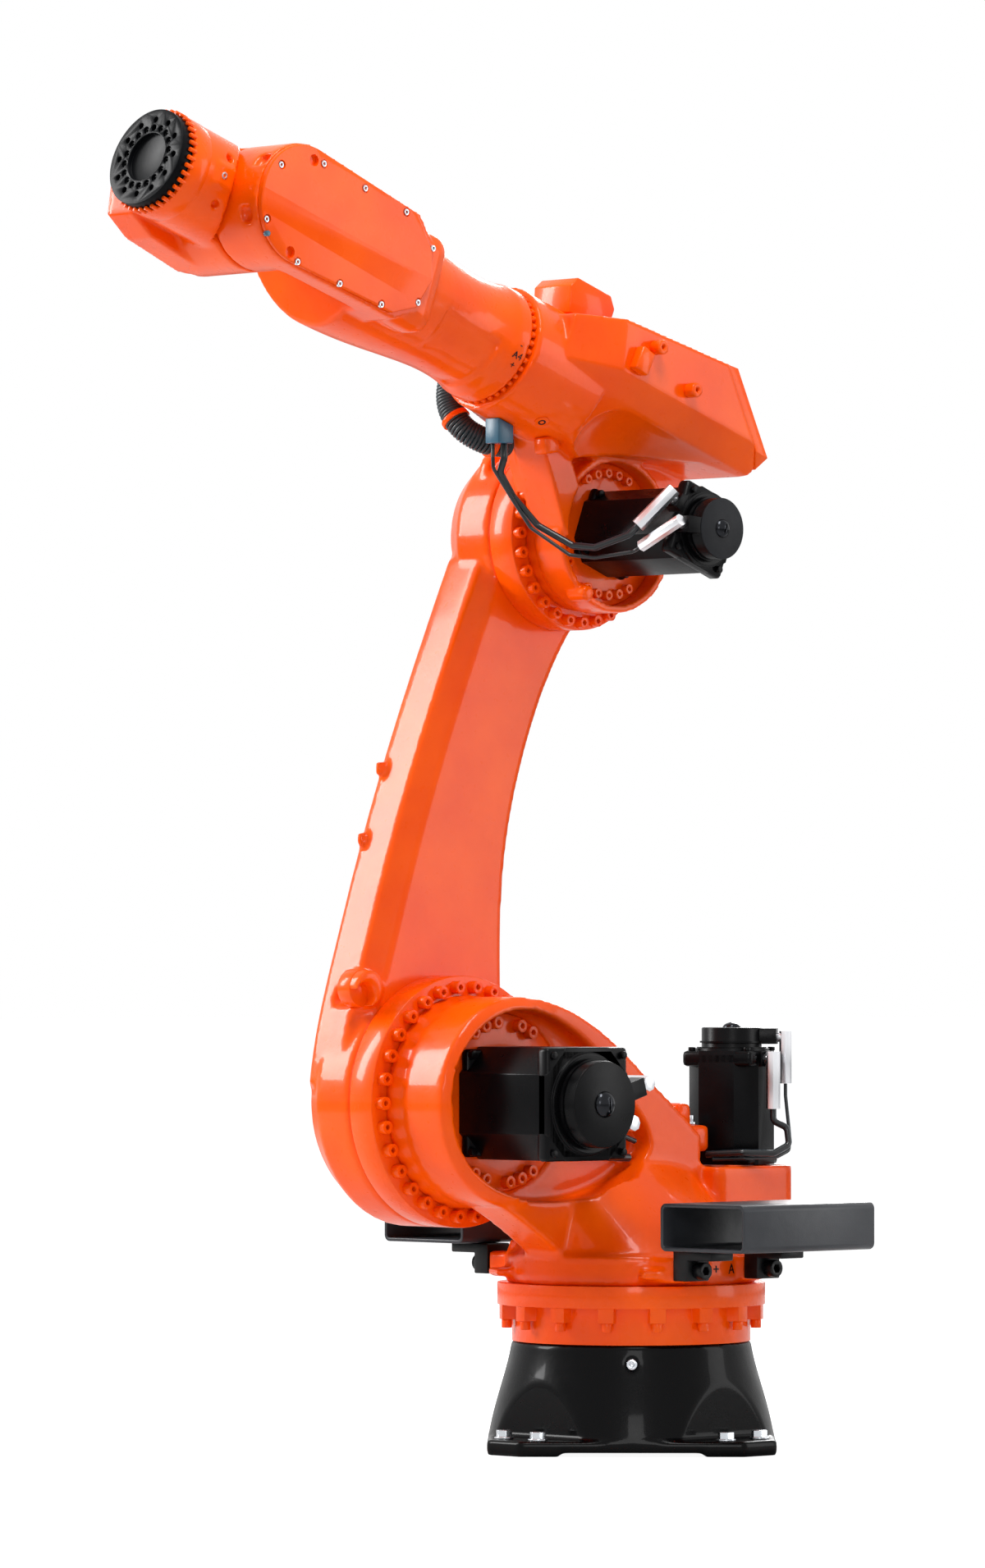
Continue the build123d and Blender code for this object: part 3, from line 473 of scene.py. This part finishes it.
# ---------------------------------------------------------------- arm housing
# Casting over the elbow that holds the drive of axis 4: a flat motor side with a sloped band and a hollow
# under it, a leg and a cup round the elbow gear, and the collar of the forearm.
casting("arm_housing", "arm_casting", "arm", cast_orange, 3.8, 3, kept=0.6)
machined("arm_rear_cover", "rear_cover", "arm", smooth_orange, 2.5)
machined("arm_fittings", "housing_bosses", "arm", smooth_orange, 3.0)

ARM_TURN = Matrix.Rotation(-radians(19), 3, "Y")
FOOT = at(-26.396, 0, 1675.531)


def on_arm(a, y, h):
    """A point given along the forearm axis, across it and up from it, in mm."""
    return FOOT + ARM_TURN @ at(a, y, h)


def round_arm(a, radius, turn):
    """A point round the forearm axis; turn is in degrees from up towards the motor side."""
    return on_arm(a, radius * sin(radians(turn)), radius * cos(radians(turn)))


def outward(turn):
    """Direction away from the forearm axis at a turn round it."""
    return ARM_TURN @ Vector((0, sin(radians(turn)), cos(radians(turn))))


ALONG = ARM_TURN @ Vector((1, 0, 0))


def socket_heads(name, body, finish, places, along, radius, height, hex_r):
    """Socket screw heads at places, each a turned head with a six-sided hole."""
    heads = []
    for place in places:
        head = rod(place, along, height, radius, sides=24)
        cut(head, rod(place + Vector(along) * height * 0.3 / 1000, along, height, hex_r, sides=6))
        heads.append(crisp(head, radius * 0.1))
    return dress(join(heads[0], heads[1:]), name, body, finish)


LEG_BLOCK_TURN = Matrix.Rotation(radians(8), 3, "Y")
PLUG_A, PLUG_TURN = 268, 151
dress(crisp(block(at(214, 19, 1640), (34, 30, 28), LEG_BLOCK_TURN, 5), 1), "leg_block", "arm", smooth_orange)
dress(crisp(rod(round_arm(PLUG_A, 103, PLUG_TURN), outward(PLUG_TURN), 5, 12), 1.4), "collar_plug", "arm",
      smooth_orange)
socket_heads("collar_plug_socket", "arm", plate_black, [round_arm(PLUG_A, 105, PLUG_TURN)],
             outward(PLUG_TURN), 6.5, 3.6, 4)

# ---------------------------------------------------------------- hose and clip
# Ribbed hose that carries the leads round the elbow into the housing, and the painted clip under the collar.
blue_grey = powder_coat("blue_grey_paint", "#2C5D75", "#234D62", "#8FB7C8", 18, 0.12, 0.34, 0.45)
hose_skin = rubber("ribbed_plastic_hose", "#1B1E21", 0.42, "#8FB9C9")
machined("cable_bracket", "lead_clip", "arm", blue_grey, 2.0)
HOSE_ROUTE = [(228, -64, 1645), (266, -66, 1645), (301, -92, 1668), (301, -124, 1712), (280, -131, 1768),
              (241, -131, 1776)]
line = [at(*p) for p in HOSE_ROUTE]
for _ in range(4):
    cornered = [line[0]]
    for p, q in zip(line, line[1:]):
        cornered += [p * 0.75 + q * 0.25, p * 0.25 + q * 0.75]
    line = cornered + [line[-1]]
RIB_STEP = 0.0052
ribs, left = [], 0.0
for p, q in zip(line, line[1:]):
    gone = left
    while gone < (q - p).length:
        ribs.append((p + (q - p).normalized() * gone, (q - p).normalized()))
        gone += RIB_STEP
    left = gone - (q - p).length
hose = []
for place, along in ribs:
    bpy.ops.object.select_all(action="DESELECT")
    bpy.ops.mesh.primitive_torus_add(
        major_segments=32, minor_segments=8, major_radius=0.0188, minor_radius=0.0030,
        location=place, rotation=along.to_track_quat("Z", "Y").to_euler())
    hose.append(settle())
hose = join(hose[0], hose[1:])
select_only(hose)
bpy.ops.object.shade_smooth()
dress(hose, "ribbed_hose", "arm", hose_skin, "cable_hose")
for index in (5, 19):
    place, along = ribs[index]
    dress(crisp(rod(place, along, 9, 24.5, sides=40), 1.5), "hose_clamp_%d" % index, "arm", smooth_orange)

# ---------------------------------------------------------------- forearm
# Tapered casting that turns about its own length behind the elbow and ends in one prong for the wrist. A ring
# of small screws sits in the seam of axis 4, and a window is let into the shell beside it.
core = rod(on_arm(420, 0, 0), ALONG, 156, 84, 99, 64)
window = block(on_arm(498, 60, -78), (138, 150, 116), ARM_TURN, 4)
use(window, "BOOLEAN", operation="DIFFERENCE", solver="EXACT", object=core)
bpy.data.objects.remove(core)
hub = rod(on_arm(364, 0, 0), ALONG, 30, 91, 91, 64)
seam = rod(on_arm(362, 0, 0), ALONG, 13, 120, 120, 64)
use(seam, "BOOLEAN", operation="DIFFERENCE", solver="EXACT", object=hub)
bpy.data.objects.remove(hub)


def shield(turn, y):
    """Pocket in the rim of the prong, turned round the wrist axis."""
    way = ARM_TURN @ Matrix.Rotation(-radians(turn), 3, "Y")
    return block(FOOT + ARM_TURN @ at(942, y, 0) + way @ at(97, 0, 0), (22, 24, 26), way, 5)


prong_end = block(on_arm(682, 98, -8), (136, 70, 166), ARM_TURN, 26)
casting("forearm_housing", "forearm_casting", "forearm", cast_orange, 3.8, 3, [prong_end],
        [window, seam, shield(26, 116), shield(-29, 106)], 0.6)
heads = [rod(round_arm(366.5, 94.5, 9 * i), ALONG, 8, 4.6, sides=12) for i in range(40)]
dress(crisp(join(heads[0], heads[1:]), 0.6), "axis_4_screws", "forearm", smooth_orange)

# ---------------------------------------------------------------- wrist cover
# Flat cast cover on the prong with two facets that meet in a crease, screws in counterbores round its edge,
# and two larger holes. Its lettering is left out, so the field along the crease is bare.
COVER_IN, COVER_T, CREASE_H = 133.3, 5.7, -8.0
cover = copy_of("wrist_side_cover", "wrist_cover")
bpy.ops.object.mode_set(mode="EDIT")
bpy.ops.mesh.select_all(action="SELECT")
bpy.ops.mesh.bisect(plane_co=on_arm(945, 136, CREASE_H), plane_no=ARM_TURN @ Vector((0, 0, 1)))
bpy.ops.object.mode_set(mode="OBJECT")
for vertex in cover.data.vertices:
    if vertex.co.y > (COVER_IN + COVER_T / 2) / 1000:
        off = abs((ARM_TURN.inverted() @ (vertex.co - FOOT)).z * 1000 - CREASE_H)
        vertex.co.y += 0.006 * (1 - off / 98)
crisp(cover, 2.2)
COVER_SCREWS = [(1010, 40), (926, 77), (831, 75), (736, 74), (663, 42), (1011, -52), (928, -90), (833, -88),
                (739, -85), (666, -52)]
COVER_TOP = COVER_IN + COVER_T
COVER_HOLES = [(947, 74, 9.5, 12), (948, -82, 9.5, 12)]
for a, h, r, deep in [(a, h, 7.6, 5) for a, h in COVER_SCREWS] + COVER_HOLES:
    cut(cover, rod(on_arm(a, COVER_TOP + 4 - deep, h), (0, 1, 0), deep + 10, r, sides=32))
select_only(cover)
bpy.ops.object.shade_smooth_by_angle(angle=radians(25))
dress(cover, "wrist_cover", "forearm", smooth_orange, "wrist_side_cover")
socket_heads("cover_screws", "forearm", zinc, [on_arm(a, COVER_TOP - 3, h) for a, h in COVER_SCREWS],
             (0, 1, 0), 5.2, 5, 2.6)
blue_pin = powder_coat("blued_steel_pin", "#3C6E86", "#2C5568", "#9CC3D4", 10, 0.05, 0.25, 0.5)
dress(crisp(rod(on_arm(1003, COVER_TOP - 3, -73), (0, 1, 0), 8, 4.5), 1), "cover_pin", "forearm", blue_pin)

# ---------------------------------------------------------------- wrist
# Casting that swings under the forearm, with a cover on its far side and a round head for the flange.
lug = block(on_arm(1065.5, 76, 0), (39, 20, 38), ARM_TURN, 2)
slots = []
for turn in (66, 122):
    slot_turn = ARM_TURN @ Matrix.Rotation(radians(90 - turn), 3, "X")
    slots.append(block(round_arm(1060, 84, turn), (13, 24, 13), slot_turn, 2))
casting("wrist_body", "wrist_casting", "wrist", smooth_orange, 3.2, 2, [lug], slots)
dress(crisp(rod(on_arm(1101, 0, 0), ALONG, 36, 84.6, sides=120), 1.6), "head_ring", "wrist", smooth_orange)
teeth = [rod(round_arm(1134, 82.6, 9 * i), ALONG, 14, 3.5, sides=12) for i in range(40)]
dress(crisp(join(teeth[0], teeth[1:]), 0.6), "flange_seam_screws", "wrist", smooth_orange)
socket_heads("head_screws", "wrist", zinc, [on_arm(1070, 83, 0), on_arm(1027, 82.5, 0)], (0, 1, 0), 6, 4, 2.8)
machined("wrist_far_cover", "wrist_far_lid", "wrist", smooth_orange, 3.0)
FAR_SCREWS = [(1090, -40), (1090, 40), (1040, -70), (1040, 70), (960, -78), (960, 78), (880, -50), (880, 50)]
socket_heads("far_lid_screws", "wrist", zinc, [on_arm(a, -129, h) for a, h in FAR_SCREWS],
             (0, -1, 0), 5, 5, 2.5)

# ---------------------------------------------------------------- tool flange
# Turned steel flange, blackened, with a centring recess and two rings of holes.
flange_black = powder_coat("blackened_steel_flange", "#08090B", "#050608", "#26282B", 30, 0.06, 0.34, 0.06)
machined("tool_flange", "flange_plate", "flange", flange_black, 1.0)
machined("flange_screws", "flange_screw_heads", "flange", flange_black, 0.6)

# ---------------------------------------------------------------- axis marks
# Plain printed marks beside two axes: the axis number and the signs of its turn.
print_black = powder_coat("black_printed_mark", "#0C0D0F", "#08090A", "#1A1B1D", 20, 0.02, 0.4, 0.2)


def mark(text, place, right, up, size_mm, body, name):
    """Letters as thin raised print, read along one direction with another one up."""
    right, up = Vector(right).normalized(), Vector(up).normalized()
    bpy.ops.object.select_all(action="DESELECT")
    bpy.ops.object.text_add()
    letters = bpy.context.object
    letters.data.body = text
    letters.data.size = size_mm / 1000 * 1.4
    letters.data.align_x, letters.data.align_y = "CENTER", "CENTER"
    letters.data.extrude = 0.0004
    bpy.ops.object.convert(target="MESH")
    facing = Matrix((right, up, right.cross(up))).transposed()
    letters.matrix_world = Matrix.Translation(place) @ facing.to_4x4()
    dress(settle(), name, body, print_black)


for text, turn, name in (("+", 87, "axis_1_plus"), ("A1", 99, "axis_1_number"), ("-", 113, "axis_1_minus")):
    spot = Vector((cos(radians(turn)), sin(radians(turn)), 0))
    mark(text, spot * 0.2053 + at(0, 0, 299), (-spot.y, spot.x, 0), (0, 0, 1), 17, "column", name)
for text, turn, name in (("-", 97, "axis_4_minus"), ("A4", 108, "axis_4_number"), ("+", 118, "axis_4_plus")):
    mark(text, round_arm(392, 98.6, turn), -ALONG, -outward(turn).cross(ALONG), 12, "forearm", name)
